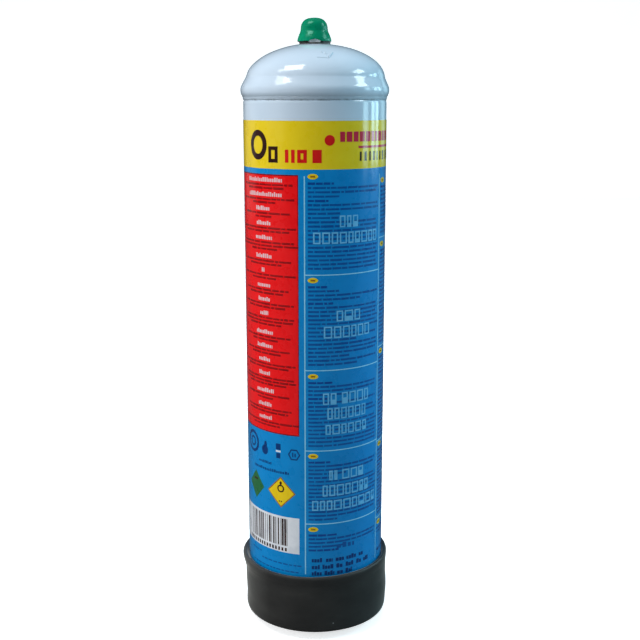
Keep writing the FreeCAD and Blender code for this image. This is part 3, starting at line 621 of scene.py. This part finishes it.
class Ink:
    """Collects thin closed patches of one ink, wrapped round the film. Lengths run along the film
    from the front, heights are up the cylinder."""

    def __init__(self, name, material, level):
        self.name, self.material = name, material
        self.outside = FILM_RADIUS + 0.02 * level
        self.inside = FILM_RADIUS - 0.02
        self.verts, self.faces, self.outward = [], [], []

    def ribbon(self, pairs, closed=False):
        """A strip between two edges, given as matching points (along, up)."""
        (a, b), (c, d) = pairs[0], pairs[1]
        turn = (c[0] - a[0]) * (b[1] - a[1]) - (c[1] - a[1]) * (b[0] - a[0])
        if turn < 0:
            pairs = [(upper, lower) for lower, upper in pairs]
        base = len(self.verts)
        for pair in pairs:
            for along, up in pair:
                angle = along / FILM_RADIUS
                for radius in (self.outside, self.inside):
                    self.verts.append((radius * math.sin(angle), -radius * math.cos(angle), up))
        count = len(pairs)
        for index in range(count if closed else count - 1):
            p = base + 4 * index
            q = base + 4 * ((index + 1) % count)
            self.faces += [(p, q, q + 2, p + 2), (p + 1, p + 3, q + 3, q + 1),
                           (p, p + 1, q + 1, q), (p + 2, q + 2, q + 3, p + 3)]
            self.outward += [True, False, False, False]
        if not closed:
            last = base + 4 * (count - 1)
            self.faces += [(base, base + 2, base + 3, base + 1),
                           (last, last + 1, last + 3, last + 2)]
            self.outward += [False, False]

    def block(self, start, stop, low, high):
        """A rectangle between two lengths and two heights."""
        steps = max(1, math.ceil((stop - start) / LONGEST_SPAN))
        cuts = [start + (stop - start) * i / steps for i in range(steps + 1)]
        self.ribbon([((cut, low), (cut, high)) for cut in cuts])

    def field(self, start, stop, low, high):
        """A rectangle between two angles and two heights."""
        self.block(arc(start), arc(stop), low, high)

    def oval(self, along, up, half_width, half_height, steps=20):
        self.ribbon([((along - half_width * math.cos(a), up - half_height * math.sin(a) - 0.005),
                      (along - half_width * math.cos(a), up + half_height * math.sin(a) + 0.005))
                     for a in [math.pi * (i + 0.15) / (steps + 0.3) for i in range(steps + 1)]])

    def diamond(self, along, up, half_width, half_height):
        steps = 2 * math.ceil(half_width / LONGEST_SPAN)
        pairs = []
        for i in range(steps + 1):
            t = -1 + 2 * i / steps
            reach = half_height * (1 - abs(t)) + 0.02
            cut = along + t * half_width
            pairs.append(((cut, up - reach), (cut, up + reach)))
        self.ribbon(pairs)

    def stroke(self, points, width, closed=False):
        """A line of even width along the points."""
        dense = []
        count = len(points)
        for index in range(count if closed else count - 1):
            a, b = Vector(points[index]), Vector(points[(index + 1) % count])
            pieces = max(1, math.ceil((b - a).length / LONGEST_SPAN))
            dense += [a + (b - a) * i / pieces for i in range(pieces)]
        if not closed:
            dense.append(Vector(points[-1]))
        pairs = []
        total = len(dense)
        for index, point in enumerate(dense):
            before = dense[(index - 1) % total] if closed or index else point
            after = dense[(index + 1) % total] if closed or index < total - 1 else point
            first, second = (point - before), (after - point)
            first = first.normalized() if first.length else second.normalized()
            second = second.normalized() if second.length else first
            mean = (first + second).normalized()
            normal = Vector((-mean.y, mean.x))
            reach = width / 2 / max(0.5, normal.dot(Vector((-first.y, first.x))))
            pairs.append((tuple(point - normal * reach), tuple(point + normal * reach)))
        self.ribbon(pairs, closed)

    def frame(self, start, stop, low, high, width):
        """The outline of a rectangle, its stroke inside the given edges."""
        half = width / 2
        left, right, bottom, top = start + half, stop - half, low + half, high - half
        self.stroke([(left, bottom), (right, bottom), (right, top), (left, top)], width, True)

    def ring(self, along, up, half_width, half_height, width, sides):
        angles = [2 * math.pi * i / sides for i in range(sides)]
        self.stroke([(along + half_width * math.cos(a), up + half_height * math.sin(a))
                     for a in angles], width, True)

    def make(self):
        normals = []
        for face, outward in zip(self.faces, self.outward):
            for vert in face:
                x, y, _ = self.verts[vert]
                size = math.hypot(x, y)
                normals.append((x / size, y / size, 0.0) if outward else (0.0, 0.0, 0.0))
        add_piece(self.name, self.verts, self.faces, self.material, "cylinder",
                  normals=normals)


INKS = []


def ink(name, material, level):
    INKS.append(Ink(name, material, level))
    return INKS[-1]


# Heights of the film's lower edge, the blue's, the yellow band's and the film's upper edge.
FILM_LOW, BLUE_LOW, BAND_LOW, FILM_HIGH = 29.2, 30.0, 239.9, 262.7
blue = ink("print_blue_field", BLUE, 1)
yellow = ink("print_yellow_band", YELLOW, 1)
red_panel = ink("print_red_panel", RED, 3)
red_border = ink("print_red_border", DARK_RED, 2)
red_text = ink("print_red_panel_lines", TEXT_RED, 4)
white_heads = ink("print_white_heads", HEAD_WHITE, 4)
white_panel = ink("print_white_panel", WHITE, 2)
lines = ink("print_column_lines", PALE_BLUE, 3)
words = ink("print_big_rows", WORD_BLUE, 5)
small = ink("print_small_lines", MID_BLUE, 3)
heads = ink("print_bold_lines", HEAD_BLUE, 4)
foot_rows = ink("print_foot_rows", NAVY, 4)
wordmark = ink("print_band_wordmark", MAUVE, 3)
icons = ink("print_icons", NAVY, 2)
ovals = ink("print_ovals", OVAL_YELLOW, 4)
oval_marks = ink("print_oval_marks", ORANGE, 5)
band_dark = ink("print_band_dark_marks", BLACK, 3)
band_red = ink("print_band_red_marks", CRIMSON, 3)
green_sign = ink("print_green_diamond", GREEN, 2)
dark_marks = ink("print_dark_marks", BLACK, 5)
yellow_sign = ink("print_yellow_diamond", OVAL_YELLOW, 3)
orange_sign = ink("print_orange_border", ORANGE, 2)
bar_black = ink("print_bar_panel_bars", BLACK, 3)

# Small print: the distance between its lines, and the rows of each cell that are headings.
LINE_PITCH = 2.05
HEADING_ROWS = (0, 4)


def dashes(target, start, stop, up, height, draw, gap, longest):
    """One line of greeked text: word-long dashes between two lengths."""
    along = start
    while along < stop - 0.8:
        size = min(draw.uniform(1.4, longest), stop - along)
        if size > 0.7:
            tall = height * draw.uniform(0.88, 1.12)
            target.block(along, along + size, up - tall / 2, up + tall / 2)
        along += size + gap * draw.uniform(0.8, 1.3)


def blocks(target, start, stop, up, low, high, draw, gap, width):
    """A bold greeked word: short upright blocks between two lengths, some of them taller."""
    tall_share, drop = 0.35, 0.26 * (high - low)
    along = start
    while along < stop - 0.4:
        size = min(width * draw.uniform(0.75, 1.25), stop - along)
        top = high if draw.random() < tall_share else high - drop
        target.block(along, along + size, up + low, up + top)
        along += size + gap


def column_text(start, stop, high, low, draw):
    """Small lines down a column, with two bold headings near its top."""
    left, right = arc(start), arc(stop)
    up = high
    row = 0
    while up > low:
        if row in HEADING_ROWS:
            length = draw.uniform(9, 17)
            dashes(heads, left, left + length, up, 1.05, draw, 0.5, 5.0)
        else:
            short = draw.random() < 0.18 or row + 1 in HEADING_ROWS
            reach = draw.uniform(0.35, 0.7) if short else draw.uniform(0.93, 1.0)
            dashes(small, left, left + (right - left) * reach, up, 1.0, draw, 0.5, 9.0)
        up -= LINE_PITCH
        row += 1


def run_of_blocks(target, start, stop, low, high, narrowest, widest, gap, draw):
    """Solid upright blocks of random width between two lengths."""
    along = start
    while along < stop:
        size = draw.uniform(narrowest, widest)
        target.block(along, along + size, low, high)
        along += size + gap


def big_row(start, stop, low, high, count, draw):
    """A row of large pale outlined blocks, some of them filled in their lower part."""
    left, right = arc(start), arc(stop)
    gap, width, filled_share = 0.85, 0.7, 0.2
    shares = [draw.uniform(0.75, 1.25) for _ in range(count)]
    room = right - left - gap * (count - 1)
    along = left
    for share in shares:
        size = room * share / sum(shares)
        words.frame(along, along + size, low, high, width)
        if draw.random() < filled_share:
            fill = low + (high - low) * draw.uniform(0.3, 0.55)
            words.block(along + width, along + size - width, low + width, fill)
        along += size + gap


# The blue field's columns: the angles of the lines between them, and where those lines end.
COLUMN_EDGES = (-7.8, 62.2, 134.7, 207.2, 279.7)
LINE_TOP, LINE_BOTTOM = 236.8, 32.4


def print_columns():
    """The blue field: columns of cells with an oval mark, small print and big pale rows."""
    draw = random.Random(11)
    # Each column's two edges, the heights of its cells' edges and ovals, and its lowest print.
    cells = [
        (-7.8, 62.2, [236.8, 189.1, 141.2, 99.4, 60.1], [236.6, 186.5, 138.2, 96.6, 57.2], 45.5),
        (62.2, 134.7, [236.8, 205.0, 148.6, 97.9, 55.0], [233.5, 201.6, 146.0, 95.9, 52.2], 45.5),
        (134.7, 207.2, [236.8, 192.0, 150.5, 104.0, 58.0], [233.5, 189.2, 147.7, 101.2, 55.2],
         45.5),
        (207.2, 279.7, [236.8, 198.5, 152.0, 101.0], [233.5, 195.7, 149.2, 98.2], 40.0),
    ]
    for start, stop, dividers, oval_heights, lowest in cells:
        for up in dividers[1:]:
            lines.field(start, stop, up - 0.25, up + 0.25)
        centre = arc(start + 6.4)
        for index, up in enumerate(oval_heights):
            ovals.oval(centre, up, 2.55, 1.3)
            oval_marks.block(centre - 1.15, centre + 1.15, up - 0.45, up + 0.4)
            floor = dividers[index + 1] + 1.6 if index + 1 < len(dividers) else lowest
            column_text(start + 2.6, stop - 1.6, up - 3.3, floor, draw)
        if start > 0:
            dashes(foot_rows, arc(start + 3), arc(stop - 12), 36.6, 1.6, draw, 1.3, 6)
    for edge in COLUMN_EDGES:
        lines.field(edge - 0.45, edge + 0.45, LINE_BOTTOM, LINE_TOP)
    # Big rows of the front column: two angles, two heights, and how many blocks.
    rows = [
        (19.6, 35.7, 212.2, 217.9, 3), (-1.2, 57.5, 204.3, 209.9, 9),
        (17.3, 38.4, 165.8, 171.2, 3), (7.1, 48.7, 157.5, 163.4, 6),
        (6.4, 17.4, 123.5, 129.4, 2), (22.0, 48.1, 123.5, 129.4, 4), (10.0, 45.1, 115.8, 121.7, 6),
        (8.5, 46.0, 107.8, 113.0, 6),
        (11.6, 18.4, 83.6, 88.7, 2), (22.6, 43.1, 83.6, 88.7, 3), (6.2, 48.9, 75.0, 80.9, 7),
        (-2.3, 57.9, 67.4, 72.7, 9),
    ]
    for row in rows:
        big_row(*row, draw)
    for edge in COLUMN_EDGES[1:-1]:
        for low, count in ((214.0, 3), (170.0, 6), (118.0, 5), (78.0, 7)):
            span = min(58.0, count * 6.8)
            first = edge + 36 - span / 2
            big_row(first, first + span, low, low + 5.6, count, draw)
            big_row(first + 3, first + span - 3, low - 8.0, low - 2.4, count - 1, draw)


# The lower and upper edge of the band's red row, of its wordmark, of the rule and of the bars.
RED_ROW, WORDMARK_ROW = (243.0, 249.2), (252.8, 257.6)
RULE_ROW, BAR_ROW = (249.7, 250.85), (243.6, 248.0)


def band_group(centre):
    """A dark ring, a dark box and four red blocks, from left to right."""
    band_dark.ring(arc(centre), 251.1, 4.9, 5.75, 2.8, 40)
    band_dark.frame(arc(centre + 11.6), arc(centre + 20.4), 242.9, 250.6, 1.75)
    for start in (26.6, 31.6):
        band_red.block(arc(centre + start), arc(centre + start) + 1.8, *RED_ROW)
    band_red.frame(arc(centre + 36.4), arc(centre + 43.8), *RED_ROW, 1.7)
    band_red.field(centre + 48.0, centre + 55.0, *RED_ROW)


def print_band():
    """The marks on the yellow band: a disc, a row of blocks, a rule and a row of bars."""
    draw = random.Random(3)
    for centre in (-49.6, 118.0, 205.0):
        band_group(centre)
    band_red.oval(arc(11.5), 253.6, 2.5, 2.5)
    run_of_blocks(wordmark, arc(19.6), arc(78.0), *WORDMARK_ROW, 2.2, 3.9, 0.75, draw)
    wordmark.field(35.6, 96.0, *RULE_ROW)
    run_of_blocks(band_dark, arc(36.9), arc(92.0), *BAR_ROW, 0.75, 1.6, 1.9, draw)


def print_red_panel():
    """The red panel: white greeked words, each over some rows of small dark print."""
    draw = random.Random(7)
    middle = -44.5
    red_border.field(-80.6, -12.5, 106.7, 237.3)
    red_panel.field(-79.8, -13.1, 107.25, 236.75)
    # Height of each word, half its width in degrees, and rows of print below it.
    rows = [
        (234.6, 18.8, 2), (227.6, 18.4, 2), (220.7, 8.2, 2), (213.5, 7.8, 2), (206.4, 9.2, 3),
        (197.2, 8.6, 2), (190.2, 2.0, 2), (182.7, 7.4, 2), (175.6, 6.4, 2), (168.5, 4.6, 3),
        (158.9, 9.2, 2), (151.9, 8.6, 2), (144.8, 6.6, 2), (137.6, 6.6, 3), (128.6, 9.6, 2),
        (121.3, 7.8, 2), (114.4, 7.2, 2),
    ]
    for up, half, count in rows:
        blocks(white_heads, arc(middle - half), arc(middle + half), up, -1.0, 1.1, draw, 0.4, 0.85)
        for row in range(count):
            reach = draw.uniform(24, 32) if row + 1 < count else draw.uniform(9, 25)
            dashes(red_text, arc(middle - reach), arc(middle + reach), up - 2.4 - 1.65 * row, 0.95,
                   draw, 0.5, 8.0)


def print_icons(draw):
    """Four plain dark shapes and two rows of greeked print under them."""
    icons.ring(arc(-62.5), 98.7, 5.0, 5.1, 1.5, 32)
    icons.ring(arc(-62.5), 98.7, 2.2, 2.3, 1.0, 20)
    icons.oval(arc(-45.4), 96.6, 2.3, 2.6)
    icons.oval(arc(-44.6), 99.2, 1.0, 2.2)
    icons.field(-33.4, -28.8, 98.4, 101.6)
    icons.field(-33.0, -29.2, 93.8, 96.6)
    white_panel.field(-33.4, -28.8, 97.1, 98.0)
    icons.ring(arc(-17.0), 96.8, 2.9, 2.9, 0.7, 6)
    icons.field(-18.6, -17.5, 95.6, 98.0)
    icons.field(-16.6, -15.4, 95.6, 97.6)
    blocks(icons, arc(-53.2), arc(-37.2), 90.0, -0.6, 0.8, draw, 0.35, 0.8)
    blocks(icons, arc(-60.6), arc(-20.9), 86.4, -0.7, 0.9, draw, 0.4, 0.9)


def print_diamonds():
    """A green diamond with a tick, and a yellow one with a ring, a dot and two ticks."""
    green_sign.diamond(arc(-58.0), 75.8, 7.1, 7.7)
    dark_marks.field(-61.0, -55.5, 78.4, 79.3)
    middle = arc(-29.0)
    orange_sign.diamond(middle, 75.7, 8.3, 8.3)
    yellow_sign.diamond(middle, 75.7, 7.5, 7.5)
    dark_marks.ring(middle, 77.7, 1.7, 1.7, 0.75, 24)
    dark_marks.oval(middle, 80.6, 0.7, 1.0, 12)
    dark_marks.field(-30.9, -29.9, 70.4, 71.1)
    dark_marks.field(-28.9, -27.9, 70.4, 71.1)


def print_bar_panel(draw):
    """A white panel with random bars over a row of even blocks."""
    widths = (0.35, 0.35, 0.7, 1.05)
    white_panel.field(-79.5, -12.8, 43.0, 62.7)
    along, stop = arc(-66.0), arc(-21.7)
    while along < stop:
        size = draw.choice(widths)
        bar_black.block(along, along + size, 46.7, 61.5)
        along += size + draw.choice(widths)
    along, stop = arc(-70.0), arc(-24.0)
    while along < stop:
        bar_black.block(along, along + 1.1, 43.7, 45.6)
        along += 2.0


def print_foot(draw):
    """Greeked print at the foot of the label."""
    small_height = 0.7
    dashes(small, arc(-66), arc(-50.6), 39.6, small_height, draw, 0.7, 3)
    dashes(small, arc(-50.6), arc(-11.2), 36.5, small_height, draw, 0.6, 3)
    dashes(small, arc(-64.0), arc(-11.6), 32.8, small_height, draw, 0.6, 3)
    for up, stop in ((40.2, 44.4), (36.4, 50.5), (32.9, 37.0)):
        along = arc(-2.7)
        while along < arc(stop) - 2.0:
            word = min(draw.uniform(3.2, 6.4), arc(stop) - along)
            blocks(foot_rows, along, along + word, up, -1.1, 1.3, draw, 0.3, 1.3)
            along += word + 1.5
    blocks(small, arc(18.0), arc(34.0), 47.6, -1.4, 1.4, draw, 0.9, 2.2)


def print_signs():
    draw = random.Random(19)
    print_icons(draw)
    print_diamonds()
    print_bar_panel(draw)
    print_foot(draw)


def film():
    """The clear film that carries the inks."""
    inside = 36.03
    outline = [(inside, FILM_LOW)]
    outline += [(FILM_RADIUS, up) for up in (FILM_LOW, BLUE_LOW, BAND_LOW, FILM_HIGH)]
    outline += [(inside, FILM_HIGH)]
    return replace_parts(lathe("label_film", outline, 240, FILM, "cylinder"),
                       "label_wrap")


def full_ring(target, low, high):
    """An ink all the way round, between two heights."""
    count = 240
    circle = 2 * math.pi * FILM_RADIUS
    cuts = [circle * i / count for i in range(count)]
    target.ribbon([((cut, low), (cut, high)) for cut in cuts], True)


# -------------------------------------- build

painted_body()
painted_dome()
seam_weld()
dome_stamp()
boot()
cap()
valve()
spring()
film()
full_ring(blue, BLUE_LOW, BAND_LOW)
full_ring(yellow, BAND_LOW, FILM_HIGH)
print_band()
print_red_panel()
print_columns()
print_signs()
for patch in INKS:
    patch.make()

FINISHES = {
    "neck_boss": STEEL, "neck_weld": WELD_BARE, "boss_gasket": FIBRE, "outlet_oring": SEAL,
    "stem_guide": BRASS, "valve_pin": PIN_STEEL, "poppet_cup": BRASS, "poppet_seal": SEAL,
    "spring_retainer": BRASS, "inlet_filter": BRONZE, "filter_clip": SPRING,
}
for node, finish in FINISHES.items():
    NODES[node].data.materials.clear()
    NODES[node].data.materials.append(finish)


# -------------------------------------- floor, light and camera

def backdrop():
    """A pale floor that curves up into a pale wall behind."""
    path = [(-3.0, 0.0), (1.6, 0.0), (2.2, 0.06), (2.7, 0.3), (3.0, 0.8), (3.1, 1.5), (3.1, 4.0)]
    path = curve(path, 8)
    verts = [(x, y, z - 0.0004) for y, z in path for x in (-4.0, 4.0)]
    faces = [(2 * i, 2 * i + 1, 2 * i + 3, 2 * i + 2) for i in range(len(path) - 1)]
    mesh = bpy.data.meshes.new("backdrop")
    mesh.from_pydata(verts, [], faces)
    mesh.shade_smooth()
    nodes = surface("pale_backdrop")
    grain = nodes.noise(3.0, 2.0)
    pale = nodes.ramp(grain, (0.3, (0.92, 0.92, 0.92, 1)), (0.7, (0.94, 0.94, 0.94, 1)))
    ray = nodes.add("ShaderNodeLightPath")
    seen, bounced = ray.outputs["Is Camera Ray"], ray.outputs["Is Diffuse Ray"]
    # The floor is pale to the camera, but throws little light back on the object.
    dim = nodes.mix(bounced, (0.06, 0.06, 0.06, 1), (0.28, 0.28, 0.28, 1))
    mesh.materials.append(nodes.finish(
        Base_Color=nodes.mix(seen, dim, pale), Roughness=0.9, Specular_IOR_Level=0.0,
        Emission_Color=(1, 1, 1, 1), Emission_Strength=nodes.scaled(seen, 0.0, 0.68, 0.0, 1.0)))
    floor = bpy.data.objects.new("backdrop", mesh)
    bpy.context.scene.collection.objects.link(floor)


# The height, in metres, that every light is aimed at: the foot of the dome.
AIM_HEIGHT = 0.28


def area_light(name, azimuth, elevation, distance, width, height, power, colour, tilt=0.0,
               reflected=True):
    """A rectangular light facing the cylinder's top, at an azimuth from the front and an
    elevation. Its tilt turns it in its own plane."""
    a, e, lean = math.radians(azimuth), math.radians(elevation), math.radians(tilt)
    outward = Vector((math.sin(a) * math.cos(e), -math.cos(a) * math.cos(e), math.sin(e)))
    sideways = Vector((math.cos(a), math.sin(a), 0.0))
    upward = outward.cross(sideways)
    across = sideways * math.cos(lean) + upward * math.sin(lean)
    data = bpy.data.lights.new(name, "AREA")
    data.shape, data.size, data.size_y = "RECTANGLE", width, height
    data.energy, data.color = power, colour
    lamp = bpy.data.objects.new(name, data)
    turn = Matrix((across, outward.cross(across), outward)).transposed().to_4x4()
    turn.translation = Vector((0, 0, AIM_HEIGHT)) + outward * distance
    lamp.matrix_world = turn
    lamp.visible_glossy = reflected
    bpy.context.scene.collection.objects.link(lamp)


def lights():
    """Windows that show in the gloss, and soft lights that only shape the shading."""
    warm, cool, sky = (1.0, 0.99, 0.97), (0.78, 0.95, 1.0), (0.55, 0.88, 1.0)
    above, shade, deep_shade = (0.85, 0.96, 1.0), (0.30, 0.85, 1.0), (0.20, 0.80, 1.0)
    area_light("window_left", -56, 59, 1.5, 0.60, 0.58, 9.4, warm, 38)
    area_light("window_left_low", -68, 43, 1.5, 0.36, 0.28, 1.1, warm, 38)
    area_light("soft_left", -66, 12, 2.0, 1.2, 1.2, 19.5, warm, reflected=False)
    area_light("rim_left", -118, 6, 2.0, 1.3, 1.0, 4.6, warm, reflected=False)
    area_light("rim_left_edge", -126, 4, 2.0, 1.3, 1.0, 0.7, warm)
    area_light("overhead", 170, 80, 2.2, 1.6, 1.6, 5.2, above, reflected=False)
    area_light("back_top", 180, 65, 2.2, 1.6, 1.6, 10.0, above, reflected=False)
    area_light("soft_right", 114, 12, 2.4, 1.8, 1.6, 11.0, shade, reflected=False)
    area_light("soft_right_front", 75, 8, 2.4, 1.6, 1.6, 6.2, deep_shade, reflected=False)
    area_light("window_right", 84, 31, 1.3, 0.46, 0.34, 3.4, cool, 20)
    for azimuth, width, power in ((86.9, 0.25, 1.5), (104.2, 0.16, 0.95), (110, 0.46, 1.2),
                                  (116.5, 0.15, 0.7), (139, 0.40, 0.5)):
        area_light(f"right_pane_{azimuth:.0f}", azimuth, 6, 1.3, width, 0.50, power, sky)


def surroundings():
    """A soft sky: brightest overhead, dimmer in front of the object and towards the ground."""
    world = bpy.data.worlds.new("studio")
    bpy.context.scene.world = world
    nodes = Nodes(world, "Background", "Generated")
    up = nodes.scaled(nodes.axis("Z"), 0.0, 1.0, -1.0, 1.0)
    behind = nodes.scaled(nodes.axis("Y"), 0.22, 0.80, -1.0, 1.0)
    ray = nodes.add("ShaderNodeLightPath")
    # Reflections see a darker sky, so that only the windows shine in the gloss.
    shade = nodes.scaled(ray.outputs["Is Glossy Ray"], 1.0, 0.24, 0.0, 1.0)
    nodes.finish(Color=nodes.ramp(up, (0.45, (0.30, 0.50, 0.66, 1)), (0.8, (0.60, 0.75, 0.88, 1))),
                 Strength=nodes.times(behind, shade))


def camera():
    data = bpy.data.cameras.new("camera")
    data.lens, data.sensor_width = 57.5, 36.0
    eye = bpy.data.objects.new("camera", data)
    eye.location = (0.00258, -0.52579, 0.27127)
    eye.rotation_euler = (math.radians(77.97), 0, 0)
    bpy.context.scene.collection.objects.link(eye)
    bpy.context.scene.camera = eye


backdrop()
lights()
surroundings()
camera()
bpy.context.scene.view_settings.view_transform = "Standard"
